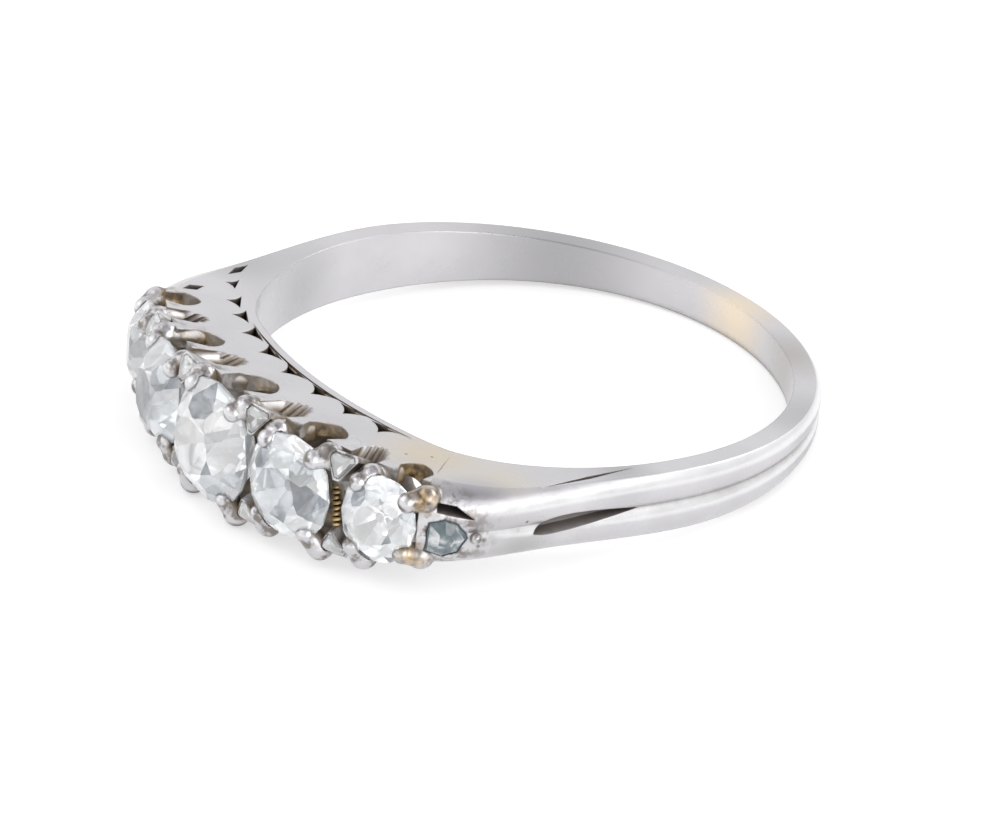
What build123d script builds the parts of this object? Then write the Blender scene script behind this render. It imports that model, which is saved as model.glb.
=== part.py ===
from build123d import *

import os
from collections import namedtuple
from math import asin, atan2, cos, degrees, hypot, radians, sin

# Five-stone half-hoop ring lying on its side. Sizes are in millimetres and degrees. It is drawn about
# its finger axis, Z, with the head towards -Y, and is laid down on its claws and its back at the end.

# Finger hole: round at the back and sides, flatter inside the head
finger_radius = 8.6
head_inside = 7.84
head_inside_radius = 13.3
inside_corner = 5.0

# Shank, from the slim back to the high shoulders
back_width = 1.24
side_width = 2.06
shoulder_width = 2.62
back_thickness = 0.92
shoulder_height = 3.4
reed_round = 0.2
reed_groove = 0.17
shoulder_bevel = 0.7
hidden_edge = 0.4

# Head: the stones stand on an arc about a centre behind the finger axis
head_offset = 1.3
head_radius = 12.95
rail_width = 2.64
rail_thickness = 0.34
wall_width = 3.86
wall_curve = 1.5
wall_drop = 0.5
wall_fan = 1.1

# Main stones
centre_length = 3.75
centre_width = 4.0
stone_gap = 0.1
end_stone_gap = 0.45
girdle_thickness = 0.08
seat_clearance = 0.03
seat_share = 0.85
azure_share = 0.35

# Claws, two on each side of a main stone
claw_radius = 0.44
claw_neck = 0.95
claw_root_radius = 0.38
claw_root_share = 0.3
claw_root_place = 0.58
claw_fan = 1.05
claw_knee_place = 0.65
claw_knee_reach = 0.8
claw_knee_drop = 0.27
claw_tip_radius = 0.33
claw_tip_place = 0.58
claw_tip_reach = 0.74
claw_tip_rise = 0.1
lower_claw_drop = 0.35
end_claw_spread = 0.18
end_claw_tuck = 0.2

# Piercing and carving of the wall
window_width_share = 0.44
window_depth_share = 0.46
window_neck_share = 0.6
pierced_length = 1.25
pierced_height = 0.58
seam_width = 0.07
seam_depth = 0.08
flute_length_share = 0.48
flute_width_share = 0.38
flute_depth = 0.9
flute_ribs = 6
flute_rib_depth = 0.09
flute_bow = 0.4
flute_run_share = 1.6

# Small rose-cut chips between the main stones, and the shoulder stones
chip_length = 0.98
chip_width = 0.8
chip_height = 0.26
chip_lean = 24
chip_rim = 0.06
chip_drop = 0.02
chip_place_share = 0.9
chip_cup_depth = 2.0
chip_cup_foot = 0.1
shoulder_stone_length = 1.52
shoulder_stone_width = 1.5
shoulder_stone_height = 0.42
shoulder_stone_sink = 0.14
shoulder_stone_drop = 0.15
bead_radius = 0.17

# Cuts on the shoulders
spear_start = 57.0
spear_end = 77.5
spear_drop = 0.27
spear_rise = 0.43
spear_fall = 0.15
spear_depth = 0.5
spear_peak_share = 0.08
slit_width = 0.16
slit_depth = 0.18
recess_length = 1.2
recess_width = 0.28
recess_depth = 0.75
recess_shift = 0.6
recess_point_share = 0.7
recess_tip_drop = 0.22

through = 4.0
upright = (Align.CENTER, Align.CENTER, Align.MIN)

Stone = namedtuple("Stone", "name side order length width")
Section = namedtuple("Section", "turn width flare height groove")
Facets = namedtuple("Facets", "count turn reach apex")
Slit = namedtuple("Slit", "start start_share end end_share width depth")

# Main stones: side and place from the middle, and length and width as shares of the centre stone's
main_stones = [
    Stone("stone_left_end", -1, 2, 0.66, 0.72),
    Stone("stone_left_inner", -1, 1, 0.84, 0.85),
    Stone("stone_centre", 0, 0, 1.0, 1.0),
    Stone("stone_right_inner", 1, 1, 0.84, 0.85),
    Stone("stone_right_end", 1, 2, 0.66, 0.72),
]

# Sections of the shank: turn from the end of the head (0) to the back (1), width from the back's (0) to
# the sides' (1), flare of the outer edges towards the shoulder width, height from the back's thickness
# (0) to the shoulder's (1), and share of the groove between the reeds
shank_sections = [
    Section(0.00, 1.10, 1.15, 1.00, 0.0),
    Section(0.05, 1.04, 0.72, 0.84, 0.0),
    Section(0.11, 1.00, 0.22, 0.52, 0.6),
    Section(0.18, 1.00, 0.05, 0.20, 1.0),
    Section(0.27, 1.00, 0.00, 0.02, 1.0),
    Section(0.38, 0.94, 0.00, -0.01, 1.0),
    Section(0.57, 0.52, 0.00, -0.01, 1.0),
    Section(0.79, 0.10, 0.00, 0.00, 1.0),
    Section(1.00, 0.00, 0.00, 0.00, 1.0),
]

# Old cut: facets in each ring, turn of the first, where a facet meets the girdle plane as a share of the
# girdle, and where it meets the axis as a share of the mean radius, with 0 for the girdle's own sides
old_cut = [
    Facets(8, 0, 1.0, 0.78),
    Facets(8, 22.5, 1.46, 0.59),
    Facets(16, 11.25, 0.98, 0.95),
    Facets(16, 11.25, 0.98, 0),
    Facets(8, 0, 1.0, -0.9),
    Facets(16, 11.25, 0.98, -1.06),
]
table_share = 0.41
culet_share = 0.8
blank_share = 1.5
cushion = 0.045

# Outlines of the rose-cut stones as shares of half their length and width, and how they close upwards
chip_outline = [(-0.18, -1.0), (0.18, -1.0), (1.0, 0.62), (0.8, 1.0), (-0.8, 1.0), (-1.0, 0.62)]
shield_outline = [
    (-0.96, -0.75), (-0.1, -1.0), (0.6, -0.75), (1.0, 0.0), (0.55, 0.75), (-0.1, 1.0), (-0.9, 0.78)
]
rose_steps = [(1.0, 0.0), (0.74, 0.62), (0.3, 1.0)]

# Heights where the flare of the wall is drawn, as shares of the way from the rim down to the base rail
wall_levels = [-0.2, 0.0, 0.33, 0.67, 1.0]

# Points down one side of a window, as shares of its half width and its depth, from the neck to the foot
window_side = [(0.85, -0.2), (1.0, -0.5), (0.68, -0.8), (0.0, -1.0)]

# Middle of the hollow side of a pierced gap, as shares of its half length and height
gap_hollow = (0.42, 0.36)

# Layers of the pointed cut, as shares of its depth and of its width
spear_layers = [(-0.5, 1.4), (1.0, 0.25)]

# Pointed slits in the flat sides of the shoulders, those at negative angles on the left. Each end has its
# angle and its share of the way from the finger hole to the crest. The width is a share of the named one,
# and so is the depth below the flat sides of the shank
side_slits = [
    Slit(57.8, 0.75, 77.5, 0.16, 1.0, 1.0),
    Slit(-41.4, 0.71, -44.8, 0.56, 2.6, 0.3),
    Slit(-53.2, 0.57, -59.4, 0.6, 2.2, 1.4),
]

# Pierced gaps over the base rail: place counted from the middle, and share of the full size
pierced_gaps = [
    (-6, 0.65), (-5, 0.8), (-4, 0.9), (-3, 1.0), (-2, 1.0), (-1, 1.0), (1, 1.0), (2, 1.0), (3, 1.0)
]


def head_plane(angle, distance):
    """Plane on the head facing outwards, with x along the row of stones and y along the finger axis."""
    out = Vector(sin(radians(angle)), -cos(radians(angle)), 0)
    along = Vector(cos(radians(angle)), sin(radians(angle)), 0)
    return Plane(origin=out * distance + Vector(0, head_offset, 0), x_dir=along, z_dir=out)


def row_span(length):
    """Angle about the centre of the head that a length along the row takes up."""
    return degrees(length / head_radius)


row_lengths = [centre_length * stone.length for stone in main_stones[2:]]
row_gaps = [stone_gap, end_stone_gap, stone_gap]
row_places = [0.0]
for before, after, gap in zip(row_lengths, row_lengths[1:], row_gaps):
    row_places.append(row_places[-1] + (before + after) / 2 + gap)
row_angles = [row_span(place) for place in row_places]
gap_places = [place + (size + gap) / 2 for place, size, gap in zip(row_places, row_lengths, row_gaps)]
gap_angles = [row_span(place) for place in gap_places]
head_end = gap_angles[-1]
end_x = head_radius * sin(radians(head_end))
end_y = head_offset - head_radius * cos(radians(head_end))
shoulder_start = degrees(atan2(end_x, -end_y))


def shank_half(section, radius):
    """Half of the width of a shank section on its flat sides at a distance from the finger axis."""
    half = (back_width + section.width * (side_width - back_width)) / 2
    flare = section.flare * (shoulder_width - side_width) / 2
    inner = finger_radius - hidden_edge
    return half + flare * (radius - inner) / (shank_edge(section) - inner)


def shank_edge(section):
    """Distance from the finger axis to the edge where the flat side of a section turns into the reed."""
    crest = finger_radius + back_thickness + section.height * (shoulder_height - back_thickness)
    return crest - reed_round - section.height * shoulder_bevel


def wall_half(y):
    """Half of the width of the head across the finger axis: waisted, then flaring towards the stones."""
    share = (y + head_inside) / (head_offset - head_radius + wall_drop + head_inside)
    if share > 0:
        return (rail_width + share**wall_curve * (wall_width - rail_width)) / 2
    end_half = shank_half(shank_sections[0], finger_radius)
    waist = (y + head_inside) / (head_inside - finger_radius * cos(radians(shoulder_start)))
    return rail_width / 2 + min(waist, 1) * (end_half - rail_width / 2)


def section_plane(angle):
    """Plane through the finger axis with x pointing outwards and y along the axis."""
    out = Vector(sin(radians(angle)), -cos(radians(angle)), 0)
    return Plane(origin=(0, 0, 0), x_dir=out, z_dir=(-cos(radians(angle)), -sin(radians(angle)), 0))


def shank_section(section, angle):
    """Flat sides, an inner edge that the finger hole trims away, and two rounded reeds outside."""
    inner = finger_radius - hidden_edge
    edge = shank_edge(section)
    half = shank_half(section, inner)
    outer_half = shank_half(section, edge)
    crest = finger_radius + back_thickness + section.height * (shoulder_height - back_thickness)
    valley = crest - section.groove * reed_groove
    with BuildSketch(section_plane(angle)) as profile:
        with BuildLine():
            Polyline((edge, -outer_half), (inner, -half), (inner, half), (edge, outer_half))
            ThreePointArc((edge, outer_half), (crest, outer_half / 2), (valley, 0))
            ThreePointArc((valley, 0), (crest, -outer_half / 2), (edge, -outer_half))
        make_face()
    return profile.sketch


def shank_band():
    """The shank and shoulders from one end of the head round the back to the other."""
    turns = [(s, shoulder_start + s.turn * (180 - shoulder_start)) for s in shank_sections]
    turns += [(section, 360 - angle) for section, angle in reversed(turns[:-1])]
    with BuildPart() as band:
        loft(sections=[shank_section(section, angle) for section, angle in turns])
    return band.part


def head_block():
    """The head before it is pierced: a crescent whose walls flare from the rail to the stones."""
    top = head_offset - head_radius + wall_drop
    end = head_plane(head_end + row_span(stone_gap), head_radius - wall_drop).origin
    joint = section_plane(shoulder_start + row_span(stone_gap))
    low = joint.from_local_coords((finger_radius - hidden_edge, 0))
    waist = -finger_radius * cos(radians(shoulder_start))
    flare = [top - share * (head_inside + top) for share in wall_levels]
    with BuildPart() as block:
        with BuildSketch(Plane.XY):
            with BuildLine():
                ThreePointArc((-end.X, end.Y), (0, top), (end.X, end.Y))
                Polyline((end.X, end.Y), (low.X, low.Y), (0, low.Y), (-low.X, low.Y), (-end.X, end.Y))
            make_face()
        extrude(amount=through, both=True)
        with BuildSketch(Plane.YZ):
            with BuildLine():
                Spline(*[(y, wall_half(y)) for y in flare])
                Polyline(
                    (-head_inside, wall_half(-head_inside)),
                    (waist, wall_half(waist)),
                    (0, wall_half(waist)),
                    (0, 0),
                )
                mirror(about=Plane.XZ)
                Line((flare[0], wall_half(flare[0])), (flare[0], -wall_half(flare[0])))
            make_face()
        extrude(amount=3 * finger_radius, both=True, mode=Mode.INTERSECT)
    return block.part


def finger_hole():
    """The hollow for the finger, with softened corners where the round back meets the flatter head."""
    with BuildPart() as hole:
        with BuildSketch(Plane.XY):
            Circle(finger_radius)
            with Locations((0, head_inside_radius - head_inside)):
                Circle(head_inside_radius, mode=Mode.INTERSECT)
        extrude(amount=through, both=True)
        fillet(hole.edges().filter_by(Axis.Z), inside_corner)
    return hole.part


def facet_plane(ring, number, length, width, clearance):
    """Plane of one facet of a stone with this half length and half width, grown by the clearance."""
    turn = radians(ring.turn + number * 360 / ring.count)
    support = hypot(length * cos(turn), width * sin(turn)) * (1 + cushion * sin(2 * turn) ** 2)
    reach = ring.reach * support + clearance
    side = (ring.apex > 0) - (ring.apex < 0)
    lean = side * reach / (abs(ring.apex) * (length + width) / 2) if side else 0
    touch = (reach * cos(turn), reach * sin(turn), side * (girdle_thickness / 2 + clearance))
    return Plane(origin=touch, z_dir=(cos(turn), sin(turn), lean))


def cut_stone(length, width, clearance=0):
    """Old-cut stone about the origin, with its table upwards and its girdle in the XY plane."""
    mean = (length + width) / 2
    table = girdle_thickness / 2 + clearance + table_share * mean
    culet = girdle_thickness / 2 + clearance + culet_share * mean
    with BuildPart(Plane.XY.offset(-culet)) as stone:
        Cylinder(blank_share * max(length, width), table + culet, align=upright)
        for ring in old_cut:
            for number in range(ring.count):
                split(bisect_by=facet_plane(ring, number, length, width, clearance), keep=Keep.BOTTOM)
    return stone.part


def rose_stone(outline, length, width, height, clearance=0):
    """Rose-cut stone with a flat base in the XY plane and steps of facets up to a small table."""
    layers = []
    for share, level in rose_steps:
        half_length = share * length / 2 + clearance
        half_width = share * width / 2 + clearance
        points = [(x * half_length, y * half_width) for x, y in outline]
        with BuildSketch(Plane.XY.offset(level * (height + 2 * clearance) - clearance)) as layer:
            with BuildLine():
                Polyline(*points, close=True)
            make_face()
        layers.append(layer.sketch)
    with BuildPart() as stone:
        loft(sections=layers, ruled=True)
    return stone.part


def seated(stone, seat):
    """A stone built about the origin, set on the plane of its seat."""
    with BuildPart(seat) as placed:
        add(stone)
    return placed.part


def stone_half(stone):
    return centre_length * stone.length / 2, centre_width * stone.width / 2


def stone_seat(stone):
    return head_plane(stone.side * row_angles[stone.order], head_radius)


def wall_seat(stone):
    """Plane at the rim of the wall over the window of a stone; the windows fan out below the stones."""
    return head_plane(wall_fan * stone.side * row_angles[stone.order], head_radius - wall_drop)


def side_plane(seat):
    """Plane through a seat that shows the wall face on: x along the row and y outwards."""
    return Plane(origin=seat.origin, x_dir=seat.x_dir, z_dir=(0, 0, -1))


def azure_hole(stone):
    """Tapering hole under a stone, from below its girdle into the finger hole."""
    length, width = stone_half(stone)
    seat = stone_seat(stone)
    depth = head_radius - head_inside - head_offset + rail_thickness
    with BuildPart() as hole:
        with BuildSketch(seat) as top:
            Ellipse(length * seat_share, width * seat_share)
        with BuildSketch(seat.offset(-depth)) as bottom:
            Ellipse(length * azure_share, width * azure_share)
        loft(sections=[top.sketch, bottom.sketch])
    return hole.part


def window(stone):
    """Drop-shaped window cut through both walls under a stone, with its narrow neck at the stone."""
    length = centre_length * stone.length
    half = window_width_share * length / 2
    neck = window_neck_share * half
    depth = window_depth_share * length
    bulge, side, lower, foot = [(x * half, y * depth) for x, y in window_side]
    with BuildPart() as arch:
        with BuildSketch(side_plane(wall_seat(stone))):
            with BuildLine():
                ThreePointArc((neck, wall_drop), bulge, side)
                ThreePointArc(side, lower, foot)
                mirror(about=Plane.YZ)
                Line((neck, wall_drop), (-neck, wall_drop))
            make_face()
        extrude(amount=through, both=True)
    return arch.part


def taper(start, end, start_radius, end_radius):
    """Straight tapering bar between two points."""
    with BuildPart(Plane(origin=start, z_dir=end - start)) as bar:
        Cone(start_radius, end_radius, (end - start).length, align=upright)
    return bar.part


def ball(centre, radius):
    with BuildPart(Plane(origin=centre)) as round_ball:
        Sphere(radius)
    return round_ball.part


def claw_shift(stone, along):
    """Share by which the outermost claws stand further along their stone, and how far they tuck in."""
    outermost = along * stone.side * stone.order == 2
    return (end_claw_spread, end_claw_tuck) if outermost else (0, 0)


def claw_knee(stone, along, up):
    """Centre of the knee of a claw; below, all but the outermost claws stand out more."""
    length, width = stone_half(stone)
    seat = head_plane(claw_fan * stone.side * row_angles[stone.order], head_radius - claw_knee_drop)
    spread, tuck = claw_shift(stone, along)
    across = claw_knee_reach * width - tuck + (lower_claw_drop if up < 0 and not tuck else 0)
    return seat.from_local_coords((along * (claw_knee_place + spread) * length, up * across, 0))


def claw(stone, along, up):
    """One claw: a leg on the wall, a rounded knee at a corner of the stone and a tip over its edge."""
    length, width = stone_half(stone)
    low = wall_seat(stone).offset(-claw_root_share * 2 * length)
    spread, tuck = claw_shift(stone, along)
    reach = wall_half(low.origin.Y) - claw_root_radius - tuck
    root = low.from_local_coords((along * (claw_root_place + spread) * length, up * reach, 0))
    knee = claw_knee(stone, along, up)
    over = up * (claw_tip_reach * width - tuck)
    edge = (along * (claw_tip_place + spread) * length, over, claw_tip_rise)
    tip = stone_seat(stone).from_local_coords(edge)
    with BuildPart() as leg:
        add(taper(root, knee, claw_root_radius, claw_neck * claw_radius))
        add(ball(knee, claw_radius))
        add(taper(knee, tip, claw_neck * claw_radius, claw_neck * claw_tip_radius))
        add(ball(tip, claw_tip_radius))
    return leg.part


def flute(side, order, up):
    """Ribbed furrow between two claws that runs down into the wall towards the stones."""
    angle = wall_fan * side * gap_angles[order]
    size = centre_length * main_stones[3 + order].length
    half = flute_width_share * size / 2
    rim = head_plane(angle, head_radius - wall_drop)
    length = flute_length_share * size
    low = head_plane(angle, head_radius - wall_drop - length)
    depth = wall_half(rim.origin.Y) - flute_depth
    start = rim.from_local_coords((0, up * depth, 0))
    end = low.from_local_coords((0, up * wall_half(low.origin.Y), 0))
    edges = [2 * rib / flute_ribs - 1 for rib in range(flute_ribs + 1)]
    with BuildPart() as furrow:
        with BuildSketch(Plane(origin=start, x_dir=rim.x_dir, z_dir=start - end)):
            with BuildLine():
                for before, after in zip(edges, edges[1:]):
                    middle = (before + after) / 2
                    ThreePointArc(
                        (half * before, up * flute_bow * before**2),
                        (half * middle, up * (flute_bow * middle**2 - flute_rib_depth)),
                        (half * after, up * flute_bow * after**2),
                    )
                Polyline(
                    (half, up * flute_bow),
                    (half, up * through),
                    (-half, up * through),
                    (-half, up * flute_bow),
                )
            make_face()
        extrude(amount=flute_run_share * length, both=True)
    return furrow.part


def rail_distance(angle, rise):
    """Distance from the head's centre to a line that lies so far outside the head's flatter inside."""
    between = head_inside_radius - head_inside - head_offset
    reach = head_inside_radius + rise
    return (reach**2 - (between * sin(radians(angle))) ** 2) ** 0.5 - between * cos(radians(angle))


def rail_seam():
    """Thin seam between the base rail and the wall above it, on both faces of the head."""
    with BuildPart() as seam:
        for up in (-1, 1):
            with BuildSketch(Plane.XY.offset(up * (rail_width / 2 - seam_depth))):
                with Locations((0, head_inside_radius - head_inside)):
                    Circle(head_inside_radius + rail_thickness)
                    Circle(head_inside_radius + rail_thickness - seam_width, mode=Mode.SUBTRACT)
            extrude(amount=up * through)
        split(bisect_by=Plane(origin=(0, end_y, 0), z_dir=(0, 1, 0)), keep=Keep.BOTTOM)
    return seam.part


def pierced_gap(number, share):
    """Three-sided gap between two lobes of the wall and the base rail, cut through both walls."""
    marks = sorted(row_angles + gap_angles) + [head_end + gap_angles[0]]
    place = abs(number) - 1
    angle = wall_fan * (marks[place] + marks[place + 1]) / 2 * (1 if number > 0 else -1)
    half = share * pierced_length / 2
    height = share * pierced_height
    inward, rise = gap_hollow
    with BuildPart() as gap:
        with BuildSketch(side_plane(head_plane(angle, rail_distance(angle, rail_thickness)))):
            with BuildLine():
                Line((-half, 0), (half, 0))
                ThreePointArc((half, 0), (inward * half, rise * height), (0, height))
                ThreePointArc((0, height), (-inward * half, rise * height), (-half, 0))
            make_face()
        extrude(amount=through, both=True)
    return gap.part


def chip_seat(side, order, up):
    """Plane of the base of a chip in the gap between two stones, leaning outwards along the axis."""
    level = head_plane(side * gap_angles[order], head_radius - chip_drop)
    reach = chip_place_share * centre_width * main_stones[3 + order].width / 2
    lean = radians(chip_lean)
    facing = level.z_dir * cos(lean) + Vector(0, 0, up) * sin(lean)
    return Plane(origin=level.from_local_coords((0, up * reach, 0)), x_dir=level.x_dir * up, z_dir=facing)


def chip(clearance=0):
    return rose_stone(chip_outline, chip_length, chip_width, chip_height, clearance)


def chip_cup():
    """Thin tapering collar about the origin that holds a chip, with its foot in the wall."""
    layers = []
    for level, rim in ((-chip_cup_depth, -chip_cup_foot), (chip_rim, chip_rim)):
        points = [(x * (chip_length / 2 + rim), y * (chip_width / 2 + rim)) for x, y in chip_outline]
        with BuildSketch(Plane.XY.offset(level)) as layer:
            with BuildLine():
                Polyline(*points, close=True)
            make_face()
        layers.append(layer.sketch)
    with BuildPart() as cup:
        loft(sections=layers, ruled=True)
    return cup.part


def shoulder_plane(angle, drop=0):
    """Plane on the outside of the shoulder at an angle from the middle of the head."""
    turn = (angle - shoulder_start) / (180 - shoulder_start)
    for low, high in zip(shank_sections, shank_sections[1:]):
        if low.turn <= turn <= high.turn:
            share = (turn - low.turn) / (high.turn - low.turn)
            height = low.height + share * (high.height - low.height)
            slope = (high.height - low.height) / (high.turn - low.turn) / radians(180 - shoulder_start)
    rise = shoulder_height - back_thickness
    radius = finger_radius + back_thickness + height * rise - drop
    facing = radians(angle) - atan2(slope * rise, radius)
    out = Vector(sin(facing), -cos(facing), 0)
    origin = Vector(sin(radians(angle)), -cos(radians(angle)), 0) * radius
    return Plane(origin=origin, x_dir=(cos(facing), sin(facing), 0), z_dir=out)


def shoulder_radius(angle, share=1.0):
    """Distance from the finger axis to the crest of the shank, or a share of the way down to the hole."""
    return finger_radius + share * (shoulder_plane(angle).origin.length - finger_radius)


def side_point(angle, radius):
    return Vector(radius * sin(radians(angle)), -radius * cos(radians(angle)))


def shoulder_seat():
    """Plane of the base of the right shoulder stone, sunk into the end of the shoulder."""
    reach = chip_rim + shoulder_stone_length / 2
    angle = shoulder_start + degrees(reach / shoulder_plane(shoulder_start).origin.length)
    level = shoulder_plane(angle, shoulder_stone_sink)
    return Plane(
        origin=level.from_local_coords((0, -shoulder_stone_drop, 0)), x_dir=level.x_dir, z_dir=level.z_dir
    )


def spear_cut():
    """Pointed V-shaped cut where the groove between the reeds opens on the shoulder."""
    start = side_point(spear_start, shoulder_radius(spear_start)) - Vector(0, 0, spear_drop)
    end = side_point(spear_end, shoulder_radius(spear_end))
    length = (end - start).length
    surface = Plane(origin=start, x_dir=end - start, z_dir=(end - start).cross(Vector(0, 0, 1)))
    peak = spear_peak_share * length
    with BuildPart() as cut:
        for level, share in spear_layers:
            with BuildSketch(surface.offset(-level * spear_depth)):
                with BuildLine():
                    Bezier((0, 0), (peak, 2 * share * spear_rise), (length, 0))
                    Bezier((length, 0), (peak, -2 * share * spear_fall), (0, 0))
                make_face()
        loft(ruled=True)
    return cut.part


def side_slit(slit_row, up):
    """Pointed slit along the flat side of a shoulder."""
    start = side_point(slit_row.start, shoulder_radius(abs(slit_row.start), slit_row.start_share))
    end = side_point(slit_row.end, shoulder_radius(abs(slit_row.end), slit_row.end_share))
    middle = (start + end) / 2
    across = Vector(slit_row.width * slit_width / 2, 0)
    with BuildPart() as slit:
        with BuildSketch(Plane.XY.offset(up * (side_width / 2 - slit_row.depth * slit_depth))):
            with BuildLine():
                Polyline(start, middle + across, end, middle - across, close=True)
            make_face()
        extrude(amount=up * side_width)
    return slit.part


def recess():
    """Three-sided recess beside the shoulder stone, towards the upper edge of the shoulder."""
    low = shoulder_stone_width / 2 - shoulder_stone_drop + chip_rim
    half = recess_length / 2
    point = low + recess_point_share * recess_width
    tip = low - recess_tip_drop
    with BuildPart() as cut:
        with BuildSketch(shoulder_plane(shoulder_start + row_span(half + recess_shift))):
            with BuildLine():
                Polyline((-half, low), (half, tip), (0, point), (-half, low + recess_width), close=True)
            make_face()
        extrude(amount=recess_depth, both=True)
    return cut.part


chip_places = [-2, -1, 1, 2]
inner_gaps = [(side, order, up) for side in (-1, 1) for order in (0, 1) for up in (-1, 1)]
claws = [claw(stone, along, up) for stone in main_stones for along in (-1, 1) for up in (-1, 1)]
cups = [seated(chip_cup(), chip_seat(*place)) for place in inner_gaps]
cuts = [azure_hole(stone) for stone in main_stones] + [window(stone) for stone in main_stones]
cuts += [flute(*place) for place in inner_gaps] + [pierced_gap(*gap) for gap in pierced_gaps]
cuts += [rail_seam()]
notches = [
    seated(cut_stone(*stone_half(stone), seat_clearance), stone_seat(stone)) for stone in main_stones
]
notches += [seated(chip(seat_clearance), chip_seat(*place)) for place in inner_gaps]
shoulder_size = (shoulder_stone_length, shoulder_stone_width, shoulder_stone_height)
shoulder_notch = seated(rose_stone(shield_outline, *shoulder_size, seat_clearance), shoulder_seat())
bead_place = (shoulder_stone_length / 2 + bead_radius, 0, shoulder_stone_sink)
bead = ball(shoulder_seat().from_local_coords(bead_place), bead_radius)

with BuildPart() as shoulder_cuts:
    add([spear_cut(), recess(), shoulder_notch])
    mirror(about=Plane.YZ)
    add([side_slit(row, up) for row in side_slits for up in (-1, 1)])

with BuildPart() as metal:
    add(shank_band())
    add(head_block())
    add(finger_hole(), mode=Mode.SUBTRACT)
    add(cuts, mode=Mode.SUBTRACT)
    add(claws[: len(claws) // 2])
    add(claws[len(claws) // 2 :])
    add(cups)
    add(shoulder_cuts.part, mode=Mode.SUBTRACT)
    add(notches, mode=Mode.SUBTRACT)
    add(bead)
    add(mirror(bead, about=Plane.YZ))

# Loose slivers left beside the seats are dropped
mount = metal.solids().sort_by(SortBy.VOLUME)[-1]

pieces = {"ring_mount": mount}
for stone in main_stones:
    pieces[stone.name] = seated(cut_stone(*stone_half(stone)), stone_seat(stone))
for side, order, up in inner_gaps:
    level = "upper" if up > 0 else "lower"
    place = chip_places.index(side * (order + 1)) + 1
    pieces[f"chip_{level}_{place}"] = seated(chip(), chip_seat(side, order, up))
shoulder_stone = seated(rose_stone(shield_outline, *shoulder_size), shoulder_seat())
pieces["shoulder_stone_right"] = shoulder_stone
pieces["shoulder_stone_left"] = mirror(shoulder_stone, about=Plane.YZ)

# Lying pose: the two lowest claws and the outer edge of the back touch the surface
knee = claw_knee(main_stones[2], 0, -1)
back = Vector(0, finger_radius + back_thickness - reed_round, -back_width / 2)
reach = hypot(back.Y - knee.Y, back.Z - knee.Z)
rest_tilt = degrees(atan2(back.Z - knee.Z, back.Y - knee.Y) + asin(claw_radius / reach))
boxes = [(Rotation(-rest_tilt, 0, 0) * piece).bounding_box() for piece in pieces.values()]
middle = (min(box.min.Y for box in boxes) + max(box.max.Y for box in boxes)) / 2
rest = Plane(Location((0, -middle, -min(box.min.Z for box in boxes)), (-rest_tilt, 0, 0)))

os.makedirs("parts", exist_ok=True)
for name, piece in pieces.items():
    with BuildPart(rest) as laid:
        add(piece)
    laid.part.label = name
    export_step(laid.part, f"parts/{name}.step")
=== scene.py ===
import math
from collections import namedtuple

import bmesh
import bpy
from mathutils import Matrix, Vector


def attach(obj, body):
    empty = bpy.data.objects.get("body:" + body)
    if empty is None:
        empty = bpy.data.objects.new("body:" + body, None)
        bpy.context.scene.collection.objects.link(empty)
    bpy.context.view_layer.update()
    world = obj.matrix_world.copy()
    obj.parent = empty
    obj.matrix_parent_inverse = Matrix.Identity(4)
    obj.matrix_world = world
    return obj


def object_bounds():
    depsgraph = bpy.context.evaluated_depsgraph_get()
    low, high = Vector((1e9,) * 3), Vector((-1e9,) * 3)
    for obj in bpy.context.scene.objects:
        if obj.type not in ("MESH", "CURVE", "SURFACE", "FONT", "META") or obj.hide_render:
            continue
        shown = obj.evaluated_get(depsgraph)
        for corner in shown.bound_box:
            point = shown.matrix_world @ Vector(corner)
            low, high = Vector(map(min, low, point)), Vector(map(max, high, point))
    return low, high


MM = 0.001
IMAGE_WIDTH = 984
SENSOR = 36.0
BLACK = (0, 0, 0)
WHITE = (1, 1, 1)

# Sockets of the mix node that carry colours
MIX_LOW = 6
MIX_HIGH = 7
MIX_RESULT = 2

# Middle of the finger hole, which the camera and the lights stand around
HOLE_MIDDLE = Vector((0, 1.5034 * MM, 1.4125 * MM))

# Camera: its direction from the middle of the finger hole, and its shifts to the right and up
CAMERA_AZIMUTH = 54.220
CAMERA_ELEVATION = 28.811
CAMERA_ROLL = 1.806
CAMERA_DISTANCE = 250 * MM
CAMERA_FOCAL_PIXELS = 7916.5
CAMERA_RIGHT = -0.908 * MM
CAMERA_UP = -1.1405 * MM

# Soft lights: direction in degrees, width and height in metres, and watts
Lamp = namedtuple("Lamp", "name azimuth elevation width height energy")
LAMPS = [
    Lamp("key", -40, 50, 0.20, 0.20, 0.10),
    Lamp("fill", 100, 38, 0.14, 0.14, 0.05),
    Lamp("side", 80, 20, 0.18, 0.14, 0.16),
    Lamp("back", 165, 38, 0.18, 0.08, 0.11),
]
LIGHT_DISTANCE = 250 * MM

# White tent around the ring, by height, with a darker opening where the camera stands
TENT = [
    (0.0, (0.8, 0.8, 0.81)),
    (0.3, (0.95, 0.95, 0.95)),
    (0.65, (0.9, 0.89, 0.91)),
    (1.0, (0.5, 0.49, 0.51)),
]
TENT_STRENGTH = 1.12
OPENING_EDGE = [(0.84, BLACK), (0.95, WHITE)]
OPENING_COLOUR = (0.6, 0.6, 0.61)

# Pale floor
FLOOR_HALF = 400 * MM
PAPER = [(0.3, (0.54, 0.54, 0.543)), (0.7, (0.56, 0.56, 0.56))]
PAPER_SCALE = 300.0
PAPER_ROUGHNESS = 0.9
PAPER_GLOW = 0.55

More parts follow.
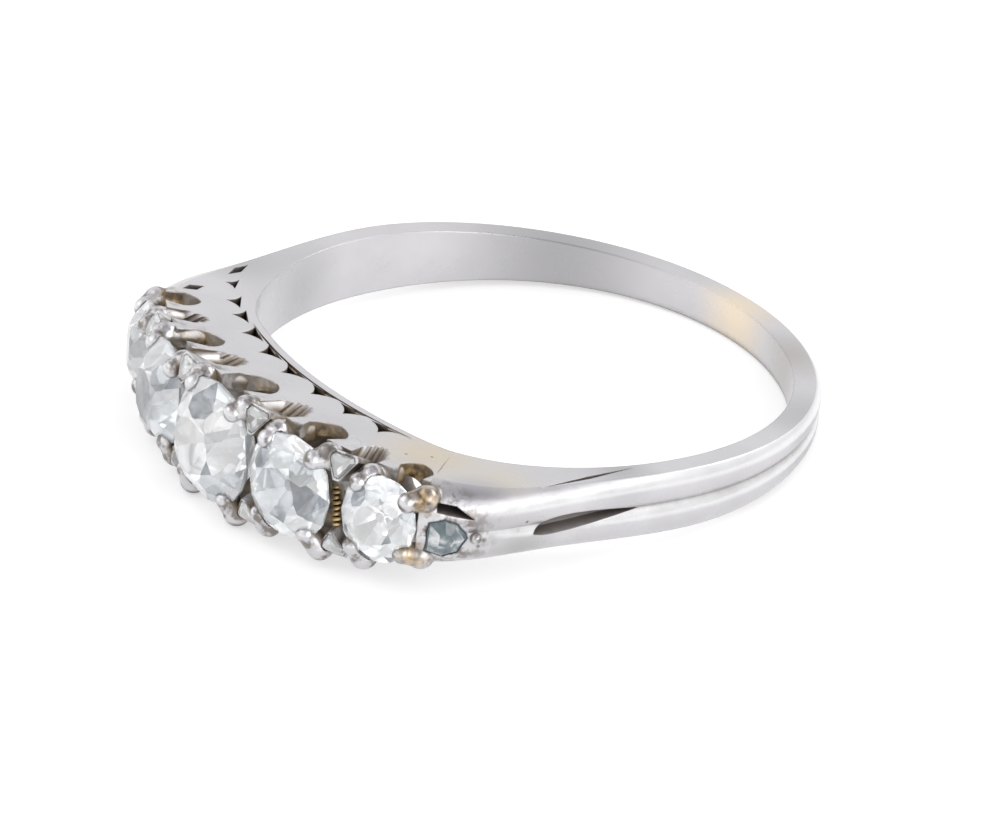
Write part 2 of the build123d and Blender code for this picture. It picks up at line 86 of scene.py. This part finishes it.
# White metal. Every scale is a number of noise lumps in a metre
METAL = [(0.3, (0.56, 0.553, 0.57)), (0.7, (0.64, 0.63, 0.645))]
DULL_SHARE = 0.5
METAL_ROUGHNESS = [(0.15, (0.24, 0.24, 0.24)), (0.35, (0.32, 0.32, 0.32)), (0.8, (0.5, 0.5, 0.5))]
CLOUD_SCALE = 420.0
GRAIN_SCALE = 2600.0

# Relief of the metal: polishing lines, slow waves and rounded edges
RELIEF_STRENGTH = 0.4
RELIEF_DEPTH = 0.005 * MM
SCRATCH_STRETCH = (9000, 700, 700)
SCRATCH_ROUGHNESS = 0.6
SCRATCH_TURNS = ((0.3, 0.2, 0.5), (-0.4, 0.5, 1.7))
CLOUD_RELIEF = 2.0
WORN_EDGE = 0.08 * MM
WORN_EDGE_SAMPLES = 6

# Painted highlight on surfaces, by how much they face up, left off the shoulder beside the shield stone
PAINTED_HIGHLIGHT = (0.78, 0.78, 0.785)
HIGHLIGHT_SLOPES = [(0.10, BLACK), (0.26, WHITE), (0.62, WHITE), (0.82, BLACK)]
HIGHLIGHT_PATCHES = [(0.3, (0.65, 0.65, 0.65)), (0.6, WHITE)]
UNHIGHLIGHTED_SHOULDER = (8.3, -6.4, 2.9)
UNHIGHLIGHTED_REACH = 2.4

# Dented and dirty claws, which stand furthest from the middle of the arc of stones
ROW_MIDDLE = (0, 2.8, 1.3)
ROW_REACH = 13.8
ROW_EDGE = [(0.87, BLACK), (0.91, WHITE)]
DENT_SCALE = 3000.0
DENT_RELIEF = 12.0
DIRT = (0.20, 0.18, 0.16)
DIRT_SCALE = 2400.0
DIRT_PATCHES = [(0.4, (0.9, 0.9, 0.9)), (0.52, BLACK)]

# Tarnish with painted shade in the cavities, by how open a place is, darkest deep down. It turns golden
# near the head
CAVITY_REACH = 1.8 * MM
TARNISH_AND_SHADE_AMOUNT = [(0.4, WHITE), (0.74, BLACK)]
TARNISH_AND_SHADE_GRAIN = 0.22
GREY_TARNISH_AND_SHADE = [(0.08, (0.12, 0.105, 0.10)), (0.34, (0.19, 0.17, 0.16)), (0.6, (0.40, 0.38, 0.37))]
GOLD_TARNISH_AND_SHADE = [(0.05, (0.02, 0.013, 0.008)), (0.3, (0.10, 0.068, 0.035)), (0.6, (0.42, 0.32, 0.19))]
HEAD_MIDDLE = (0, -8.5, 2.5)
HEAD_REACH = 11.0

# Grime with painted shade in narrow grooves and where parts meet, and how far a crust of grime or tarnish
# takes away the metal's shine
GROOVE_REACH = 0.32 * MM
GRIME_AND_SHADE = (0.10, 0.085, 0.075)
GRIME_AND_SHADE_AMOUNT = [(0.46, WHITE), (0.86, BLACK)]
GRIME_AND_SHADE_GRAIN = 0.12
CRUST_DULLING = 0.75
CAVITY_SAMPLES = 8

# Painted shade, painted warm glow and warmer tints on the metal, in the groups marked below: centre and
# reach in millimetres, and colour
PAINTED_SHADE_GLOW_AND_TINTS = [
    # Painted shade over the inside of the band
    ((-6.2, 7.3, 1.2), 4.6, (0.38, 0.375, 0.385)),
    # Painted warm glow on the inside of the back of the shank
    ((-0.2, 10.0, 1.0), 2.2, (0.80, 0.69, 0.54)),
    # Warmer beige tones on the near side face and shoulder
    ((5.6, -5.8, 3.25), 2.4, (0.63, 0.56, 0.45)),
    ((7.6, -4.7, 3.05), 1.6, (0.62, 0.58, 0.52)),
    # Painted shade over parts of the shoulders, the shank and the band
    ((8.8, -4.7, 1.3), 1.6, (0.47, 0.465, 0.46)),
    ((8.5, -0.8, 2.65), 1.5, (0.46, 0.455, 0.46)),
    ((7.5, 7.2, 0.85), 2.8, (0.44, 0.445, 0.46)),
    ((3.4, 9.4, 1.2), 2.4, (0.46, 0.44, 0.43)),
    ((-8.6, -3.3, 2.9), 2.2, (0.48, 0.48, 0.49)),
    ((-8.05, -1.5, 1.6), 2.2, (0.48, 0.48, 0.49)),
    ((8.4, -5.9, 3.0), 1.7, (0.43, 0.42, 0.44)),
    # Painted shade in seven small pits
    ((8.78, -4.78, 1.87), 0.10, (0.14, 0.12, 0.11)),
    ((8.84, -4.50, 2.10), 0.08, (0.14, 0.12, 0.11)),
    ((8.63, -5.94, 1.80), 0.13, (0.16, 0.14, 0.13)),
    ((8.57, -6.11, 1.62), 0.11, (0.16, 0.14, 0.13)),
    ((8.61, -5.81, 2.00), 0.09, (0.14, 0.12, 0.11)),
    ((5.77, -5.93, 3.31), 0.09, (0.12, 0.10, 0.08)),
    ((5.41, -6.64, 3.46), 0.08, (0.15, 0.12, 0.09)),
]

# Yellowed, mottled metal: centre and reach in millimetres, and how much of it open faces show
GILT_SPOTS = [
    ((7.75, -7.5, 3.3), 0.8, 0.8),
    ((7.7, -7.95, 1.4), 0.8, 0.8),
    ((6.05, -6.9, 3.05), 1.1, 0.1),
    ((2.92, -8.0, 3.1), 1.25, 0.1),
    ((-0.4, -8.1, 3.2), 1.3, 0.1),
    ((-4.0, -8.1, 3.2), 1.25, 0.1),
    ((-6.95, -7.1, 3.1), 1.1, 0.1),
    ((4.8, -8.8, 2.0), 1.0, 0.3),
]
MOTTLED_GILT = [(0.36, (0.05, 0.032, 0.018)), (0.5, (0.30, 0.185, 0.065)), (0.68, (0.66, 0.50, 0.28))]
MOTTLE_SCALE = 3800.0
SHELTERED = 0.7
UNSHELTERED = 0.9

# Stones: colours of dark and middling facets, gloss, and how much facets and clouding change the tone.
# Tones that differ from facet to facet are painted reflections, and the faint glow is painted light
Gem = namedtuple("Gem", "dark tint roughness index clearness glow facets clouds cloud_scale")
OLD_CUT = Gem((0.16, 0.185, 0.215), (0.89, 0.93, 0.955), 0.0, 2.2, 0.80, 0.07, 0.7, 0.5, 900.0)
CHIP = Gem((0.45, 0.45, 0.43), (0.78, 0.80, 0.80), 0.03, 2.0, 0.7, 0.02, 0.7, 0.5, 900.0)
SHIELD = Gem((0.085, 0.11, 0.125), (0.155, 0.20, 0.22), 0.16, 1.7, 0.2, 0.01, 0.22, 0.85, 2200.0)
DARK_PLACE = 0.27
TINT_PLACE = 0.52
WHITE_PLACE = 0.8
FACET_STEP = 0.02
GEM_GRAIN_SCALE = 3000.0
GEM_WEAR = 0.05
GEM_POLISHED_PLACE = 0.45
GEM_WORN_PLACE = 0.75

# Beaded strip between the right inner and the right end stone: its ends in millimetres, and its grains
BEADS_START = (4.62, -8.66, 2.58)
BEADS_END = (5.08, -8.93, 1.56)
BEAD_COUNT = 8
BEAD_HALF_WIDTH = 0.17 * MM
BEAD_HALF_HEIGHT = 0.075 * MM
BEAD_HALF_DEPTH = 0.11 * MM
BEAD_UNEVENNESS = 0.18
BEAD_RHYTHM = 2.3
BEAD_GILT_AND_SHADE = [(0.1, (0.05, 0.03, 0.015)), (0.45, (0.42, 0.29, 0.12)), (0.85, (0.70, 0.53, 0.28))]
BEAD_GRAIN_SCALE = 5000.0
BEAD_GRAIN = 0.3
BEAD_ROUGHNESS = 0.3


def towards(azimuth, elevation):
    """Unit vector from the ring to a place around it; azimuth 0 is in front of the stones."""
    turn, lift = math.radians(azimuth), math.radians(elevation)
    return Vector((math.sin(turn) * math.cos(lift), -math.cos(turn) * math.cos(lift), math.sin(lift)))


def node(tree, kind, **inputs):
    made = tree.nodes.new(kind)
    for name, value in inputs.items():
        made.inputs[name].default_value = value
    return made


def material(name):
    made = bpy.data.materials.new(name)
    made.use_nodes = True
    tree = made.node_tree
    return made, tree, tree.nodes["Principled BSDF"]


def object_place(tree):
    return tree.nodes.new("ShaderNodeTexCoord").outputs["Object"]


def ramp(tree, source, stops):
    """Colour ramp after a value; stops are (place, colour)."""
    made = tree.nodes.new("ShaderNodeValToRGB")
    elements = made.color_ramp.elements
    while len(elements) < len(stops):
        elements.new(0.5)
    for element, (place, colour) in zip(elements, stops):
        element.position = place
        element.color = (*colour, 1)
    tree.links.new(source, made.inputs["Fac"])
    return made.outputs["Color"]


def noise(tree, vector, scale, detail=3.0, roughness=0.55):
    made = node(tree, "ShaderNodeTexNoise", Scale=scale, Detail=detail, Roughness=roughness)
    tree.links.new(vector, made.inputs["Vector"])
    return made.outputs["Fac"]


def maths(tree, operation, first, second):
    """One sum on two values, each a number or the output of a node."""
    made = tree.nodes.new("ShaderNodeMath")
    made.operation = operation
    for socket, value in zip(made.inputs, (first, second)):
        if isinstance(value, (int, float)):
            socket.default_value = value
        else:
            tree.links.new(value, socket)
    return made.outputs[0]


def times(tree, first, second):
    return maths(tree, "MULTIPLY", first, second)


def blend_colour(tree, amount, low, high):
    made = tree.nodes.new("ShaderNodeMix")
    made.data_type = "RGBA"
    tree.links.new(amount, made.inputs["Factor"])
    for socket, value in ((made.inputs[MIX_LOW], low), (made.inputs[MIX_HIGH], high)):
        if isinstance(value, tuple):
            socket.default_value = (*value, 1)
        else:
            tree.links.new(value, socket)
    return made.outputs[MIX_RESULT]


def distance_share(tree, place, centre, reach):
    """Distance to a centre, as a share of the reach; both are given in millimetres."""
    apart = tree.nodes.new("ShaderNodeVectorMath")
    apart.operation = "DISTANCE"
    tree.links.new(place, apart.inputs[0])
    apart.inputs[1].default_value = [value * MM for value in centre]
    return maths(tree, "DIVIDE", apart.outputs["Value"], reach * MM)


def near(tree, place, centre, reach):
    """1 at a centre, easing to 0 at the reach from it."""
    fade = ramp(tree, distance_share(tree, place, centre, reach), [(0, WHITE), (1, BLACK)])
    fade.node.color_ramp.interpolation = "EASE"
    return fade


def openness(tree, reach, only_local):
    """0 down in a hollow and 1 on an open face."""
    made = node(tree, "ShaderNodeAmbientOcclusion", Distance=reach)
    made.samples = CAVITY_SAMPLES
    made.only_local = only_local
    return made.outputs["AO"]


def less_grain(tree, value, grain, share):
    return maths(tree, "SUBTRACT", value, times(tree, grain, share))


def painted_highlight_share(tree, place, cloudy):
    """How much painted highlight a surface gets: most on the upper slopes, and none on the shoulder
    beside the shield stone.
    """
    facing = tree.nodes.new("ShaderNodeSeparateXYZ")
    tree.links.new(tree.nodes.new("ShaderNodeNewGeometry").outputs["Normal"], facing.inputs[0])
    slopes = ramp(tree, facing.outputs["Z"], HIGHLIGHT_SLOPES)
    highlight = times(tree, slopes, ramp(tree, cloudy, HIGHLIGHT_PATCHES))
    highlight_gap = near(tree, place, UNHIGHLIGHTED_SHOULDER, UNHIGHLIGHTED_REACH)
    return times(tree, highlight, maths(tree, "SUBTRACT", 1.0, highlight_gap))


def add_gilt(tree, place, hollow, colour):
    """Lay the yellowed metal over a colour, mostly where walls shelter it."""
    mottled = ramp(tree, noise(tree, place, MOTTLE_SCALE), MOTTLED_GILT)
    for centre, reach, least in GILT_SPOTS:
        sheltered = ramp(tree, hollow, [(SHELTERED, WHITE), (UNSHELTERED, (least,) * 3)])
        patch = times(tree, near(tree, place, centre, reach), sheltered)
        colour = blend_colour(tree, patch, colour, mottled)
    return colour


def metal_normal(tree, place, cloudy, in_row):
    """Polishing lines, slow waves, dented claws and rounded edges."""
    height = times(tree, cloudy, CLOUD_RELIEF)
    for turn in SCRATCH_TURNS:
        lie = node(tree, "ShaderNodeMapping", Rotation=turn, Scale=SCRATCH_STRETCH)
        tree.links.new(place, lie.inputs["Vector"])
        lines = noise(tree, lie.outputs["Vector"], 1.0, roughness=SCRATCH_ROUGHNESS)
        height = maths(tree, "ADD", height, lines)
    dents = times(tree, noise(tree, place, DENT_SCALE, detail=2.0), in_row)
    height = maths(tree, "ADD", height, times(tree, dents, DENT_RELIEF))
    worn = node(tree, "ShaderNodeBevel", Radius=WORN_EDGE)
    worn.samples = WORN_EDGE_SAMPLES
    relief = node(tree, "ShaderNodeBump", Strength=RELIEF_STRENGTH, Distance=RELIEF_DEPTH)
    tree.links.new(height, relief.inputs["Height"])
    tree.links.new(worn.outputs["Normal"], relief.inputs["Normal"])
    return relief.outputs["Normal"]


def white_metal():
    """Worn white metal with a lilac cast, painted shade, a painted warm light and warmer tints in
    patches, painted highlight on the upper slopes, dirty claws, and grime with painted shade in the
    grooves. Tarnish with painted shade lies down in the cavities.
    """
    made, tree, shader = material("white_metal")
    place = object_place(tree)
    hollow = openness(tree, CAVITY_REACH, True)
    groove = openness(tree, GROOVE_REACH, False)
    cloudy = noise(tree, place, CLOUD_SCALE)
    grain = noise(tree, place, GRAIN_SCALE, detail=4.0)
    in_row = ramp(tree, distance_share(tree, place, ROW_MIDDLE, ROW_REACH), ROW_EDGE)

    colour = ramp(tree, cloudy, METAL)
    # Patches of painted shade, painted warm glow and warmer tints
    for centre, reach, shade_glow_and_tint in PAINTED_SHADE_GLOW_AND_TINTS:
        colour = blend_colour(tree, near(tree, place, centre, reach), colour, shade_glow_and_tint)
    # Painted highlight on the upper slopes
    colour = blend_colour(tree, painted_highlight_share(tree, place, cloudy), colour, PAINTED_HIGHLIGHT)
    dirty = times(tree, ramp(tree, noise(tree, place, DIRT_SCALE), DIRT_PATCHES), in_row)
    colour = blend_colour(tree, dirty, colour, DIRT)

    # Grime with painted shade, darkest in narrow grooves and where parts meet
    grime_and_shade = ramp(tree, less_grain(tree, groove, grain, GRIME_AND_SHADE_GRAIN), GRIME_AND_SHADE_AMOUNT)
    colour = blend_colour(tree, grime_and_shade, colour, GRIME_AND_SHADE)
    open_sky = less_grain(tree, hollow, grain, TARNISH_AND_SHADE_GRAIN)
    # Tarnish with painted shade, darkest deep in the cavities
    tarnish_and_shade_share = ramp(tree, open_sky, TARNISH_AND_SHADE_AMOUNT)
    grey = ramp(tree, open_sky, GREY_TARNISH_AND_SHADE)
    gold = ramp(tree, open_sky, GOLD_TARNISH_AND_SHADE)
    tarnish_and_shade = blend_colour(tree, near(tree, place, HEAD_MIDDLE, HEAD_REACH), grey, gold)
    colour = blend_colour(tree, tarnish_and_shade_share, colour, tarnish_and_shade)
    tree.links.new(add_gilt(tree, place, hollow, colour), shader.inputs["Base Color"])

    unpolished = maths(tree, "ADD", times(tree, cloudy, DULL_SHARE), times(tree, tarnish_and_shade_share, DULL_SHARE))
    tree.links.new(ramp(tree, unpolished, METAL_ROUGHNESS), shader.inputs["Roughness"])
    crust = maths(tree, "MAXIMUM", tarnish_and_shade_share, grime_and_shade)
    bare = maths(tree, "SUBTRACT", 1.0, times(tree, crust, CRUST_DULLING))
    tree.links.new(bare, shader.inputs["Metallic"])
    tree.links.new(metal_normal(tree, place, cloudy, in_row), shader.inputs["Normal"])
    return made


def facet_tone(tree):
    """A value of its own for each flat facet, which sets the tone of its painted reflection."""
    facing = tree.nodes.new("ShaderNodeNewGeometry").outputs["True Normal"]
    steps = tree.nodes.new("ShaderNodeVectorMath")
    steps.operation = "SNAP"
    tree.links.new(facing, steps.inputs[0])
    steps.inputs[1].default_value = (FACET_STEP,) * 3
    chance = tree.nodes.new("ShaderNodeTexWhiteNoise")
    tree.links.new(steps.outputs["Vector"], chance.inputs["Vector"])
    return chance.outputs["Value"]


def gem(name, kind):
    """Stone with facets of different tones as painted reflections, a faint painted light of its own, and
    faint clouding inside.
    """
    made, tree, shader = material(name)
    place = object_place(tree)
    cloud = noise(tree, place, kind.cloud_scale)
    tone = maths(tree, "ADD", times(tree, facet_tone(tree), kind.facets), times(tree, cloud, kind.clouds))
    colour = ramp(tree, tone, [(DARK_PLACE, kind.dark), (TINT_PLACE, kind.tint), (WHITE_PLACE, WHITE)])
    tree.links.new(colour, shader.inputs["Base Color"])
    # Painted light: the facet colours also glow faintly
    tree.links.new(colour, shader.inputs["Emission Color"])
    shader.inputs["Emission Strength"].default_value = kind.glow
    grain = noise(tree, place, GEM_GRAIN_SCALE)
    polished = (kind.roughness,) * 3
    worn = (kind.roughness + GEM_WEAR,) * 3
    gloss = ramp(tree, grain, [(GEM_POLISHED_PLACE, polished), (GEM_WORN_PLACE, worn)])
    tree.links.new(gloss, shader.inputs["Roughness"])
    shader.inputs["IOR"].default_value = kind.index
    shader.inputs["Transmission Weight"].default_value = kind.clearness
    return made


def gilt():
    """Yellowed metal of the beaded strip between two stones, with painted shade in its hollows."""
    made, tree, shader = material("gilt")
    place = object_place(tree)
    hollow = node(tree, "ShaderNodeAmbientOcclusion", Distance=GROOVE_REACH)
    shade = less_grain(tree, hollow.outputs["AO"], noise(tree, place, BEAD_GRAIN_SCALE), BEAD_GRAIN)
    tree.links.new(ramp(tree, shade, BEAD_GILT_AND_SHADE), shader.inputs["Base Color"])
    shader.inputs["Metallic"].default_value = 1.0
    shader.inputs["Roughness"].default_value = BEAD_ROUGHNESS
    return made


def build_beads():
    """A strip of flattened grains down the groove between the inner and the end stone."""
    start, end = (Vector(point) * MM for point in (BEADS_START, BEADS_END))
    along = (end - start).normalized()
    outward = Vector((start.x, start.y, 0)).normalized()
    across = along.cross(outward).normalized()
    shape = bmesh.new()
    for index in range(BEAD_COUNT):
        middle = start.lerp(end, index / (BEAD_COUNT - 1))
        uneven = 1 + BEAD_UNEVENNESS * math.sin(BEAD_RHYTHM * index)
        half = (across * BEAD_HALF_WIDTH * uneven, along * BEAD_HALF_HEIGHT, outward * BEAD_HALF_DEPTH)
        turn = Matrix([[axis[row] for axis in half] + [middle[row]] for row in range(3)] + [[0, 0, 0, 1]])
        bmesh.ops.create_icosphere(shape, subdivisions=2, radius=1.0, matrix=turn)
    mesh = bpy.data.meshes.new("gap_beads")
    shape.to_mesh(mesh)
    shape.free()
    for face in mesh.polygons:
        face.use_smooth = True
    beads = bpy.data.objects.new("gap_beads", mesh)
    bpy.context.collection.objects.link(beads)
    mesh.materials.append(gilt())
    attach(beads, "root")


def area_light(lamp):
    data = bpy.data.lights.new(lamp.name, "AREA")
    data.shape = "RECTANGLE"
    data.size = lamp.width
    data.size_y = lamp.height
    data.energy = lamp.energy
    light = bpy.data.objects.new(lamp.name, data)
    away = towards(lamp.azimuth, lamp.elevation)
    light.location = HOLE_MIDDLE + away * LIGHT_DISTANCE
    light.rotation_euler = away.to_track_quat("Z", "Y").to_euler()
    bpy.context.collection.objects.link(light)


def build_camera():
    roll = math.radians(CAMERA_ROLL)
    back = towards(CAMERA_AZIMUTH, CAMERA_ELEVATION)
    level = towards(CAMERA_AZIMUTH + 90, 0)
    upright = back.cross(level)
    right = level * math.cos(roll) + upright * math.sin(roll)
    up = back.cross(right)
    data = bpy.data.cameras.new("camera")
    data.sensor_width = SENSOR
    data.lens = CAMERA_FOCAL_PIXELS * SENSOR / IMAGE_WIDTH
    data.clip_start = MM
    camera = bpy.data.objects.new("camera", data)
    place = HOLE_MIDDLE + back * CAMERA_DISTANCE + right * CAMERA_RIGHT + up * CAMERA_UP
    camera.matrix_world = Matrix((
        (right.x, up.x, back.x, place.x),
        (right.y, up.y, back.y, place.y),
        (right.z, up.z, back.z, place.z),
        (0, 0, 0, 1),
    ))
    bpy.context.collection.objects.link(camera)
    bpy.context.scene.camera = camera


def build_floor(lowest):
    mesh = bpy.data.meshes.new("floor")
    corners = [(-1, -1), (1, -1), (1, 1), (-1, 1)]
    mesh.from_pydata([(x * FLOOR_HALF, y * FLOOR_HALF, lowest) for x, y in corners], [], [(0, 1, 2, 3)])
    floor = bpy.data.objects.new("floor", mesh)
    bpy.context.collection.objects.link(floor)
    made, tree, shader = material("floor")
    paper = ramp(tree, noise(tree, object_place(tree), PAPER_SCALE, detail=4.0), PAPER)
    tree.links.new(paper, shader.inputs["Base Color"])
    shader.inputs["Roughness"].default_value = PAPER_ROUGHNESS
    shader.inputs["Emission Color"].default_value = (*WHITE, 1)
    shader.inputs["Emission Strength"].default_value = PAPER_GLOW
    mesh.materials.append(made)


def build_world():
    world = bpy.data.worlds.new("studio")
    world.use_nodes = True
    bpy.context.scene.world = world
    tree = world.node_tree
    direction = tree.nodes.new("ShaderNodeTexCoord").outputs["Generated"]
    split = tree.nodes.new("ShaderNodeSeparateXYZ")
    tree.links.new(direction, split.inputs[0])
    facing = tree.nodes.new("ShaderNodeVectorMath")
    facing.operation = "DOT_PRODUCT"
    tree.links.new(direction, facing.inputs[0])
    facing.inputs[1].default_value = towards(CAMERA_AZIMUTH, CAMERA_ELEVATION)
    opening = ramp(tree, facing.outputs["Value"], OPENING_EDGE)
    tent = blend_colour(tree, opening, ramp(tree, split.outputs["Z"], TENT), OPENING_COLOUR)
    background = tree.nodes["Background"]
    tree.links.new(tent, background.inputs["Color"])
    background.inputs["Strength"].default_value = TENT_STRENGTH


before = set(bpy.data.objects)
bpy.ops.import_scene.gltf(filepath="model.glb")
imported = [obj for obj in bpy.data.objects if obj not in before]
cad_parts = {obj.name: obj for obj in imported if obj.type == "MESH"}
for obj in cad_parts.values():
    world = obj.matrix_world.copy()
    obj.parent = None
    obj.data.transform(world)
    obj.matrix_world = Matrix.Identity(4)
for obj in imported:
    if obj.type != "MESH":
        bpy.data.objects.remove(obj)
cad_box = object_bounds()

metal = white_metal()
clear = gem("old_cut_stone", OLD_CUT)
chip = gem("chip_stone", CHIP)
shield = gem("shoulder_stone", SHIELD)
for name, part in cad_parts.items():
    if name == "ring_mount":
        looks = metal
    elif name.startswith("stone"):
        looks = clear
    elif name.startswith("chip"):
        looks = chip
    else:
        looks = shield
    part.material_slots[0].material = looks

build_beads()

bpy.context.scene.view_settings.view_transform = "Standard"
build_camera()
build_floor(cad_box[0][2])
build_world()
for lamp in LAMPS:
    area_light(lamp)
